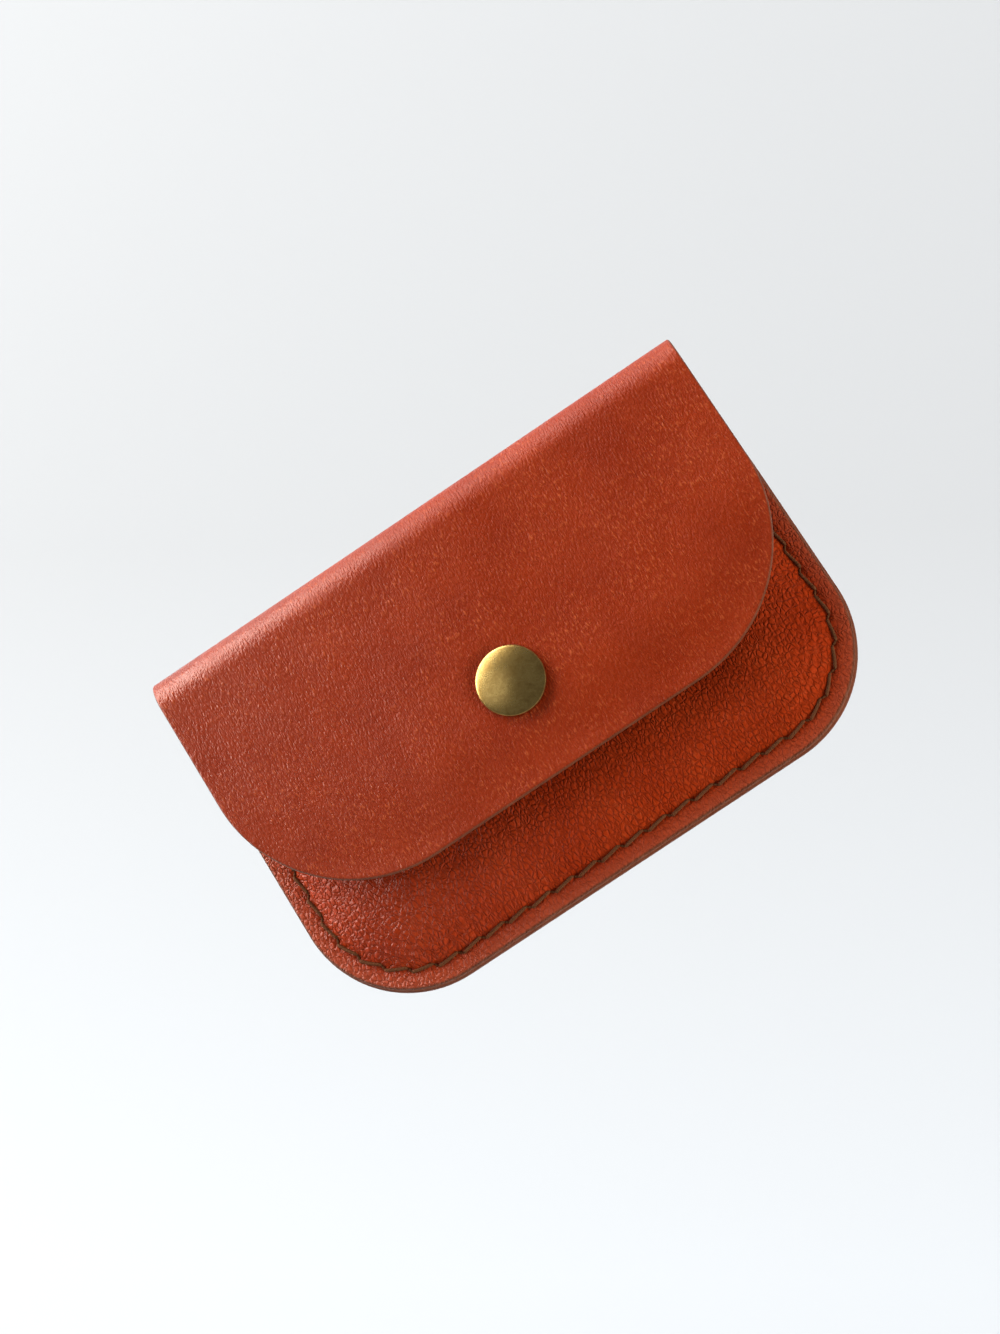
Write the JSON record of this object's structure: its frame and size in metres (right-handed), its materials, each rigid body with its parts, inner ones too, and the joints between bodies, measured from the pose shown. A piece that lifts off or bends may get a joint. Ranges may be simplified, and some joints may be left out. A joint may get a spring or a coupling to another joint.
{
  "type": "business card case",
  "caption": "Flat leather card case: a stitched front pocket under a fold-over flap with round corners, closed by a domed brass snap.",
  "frame": {"origin": "under the middle of the case, on the outside face of its back panel", "axes": "+X across the case, +Y from the bottom edge up to the fold, +Z out of the back through the flap"},
  "size_m": [0.105, 0.07, 0.0145],
  "materials": {
    "leather": "smooth full-grain, chestnut tan, semi-matt",
    "thread": "waxed and twisted, dark brown",
    "antique_brass": "mottled antique, polished on the rim",
    "spring_wire": "drawn wire"
  },
  "bodies": {
    "case": {"back_panel": "leather", "front_pocket": "leather", "seam_thread": "thread", "snap_stud": "antique_brass", "stud_post": "antique_brass"},
    "fold": {"top_fold": "leather"},
    "flap": {"flap_panel": "leather", "snap_cap": "antique_brass", "cap_post": "antique_brass", "snap_socket": "antique_brass", "socket_spring": "spring_wire"}
  },
  "joints": [
    {"name": "back_bend", "type": "hinge", "parent": "case", "child": "fold", "pos_m": [0, 0.03313, 0.00187], "axis": [-1, 0, 0], "range_deg": [0, 88]},
    {"name": "front_bend", "type": "hinge", "parent": "fold", "child": "flap", "pos_m": [0, 0.03313, 0.01093], "axis": [-1, 0, 0], "range_deg": [0, 88]}
  ],
  "couplings": [
    {"joint": "front_bend", "follows": "back_bend", "ratio": 1}
  ]
}
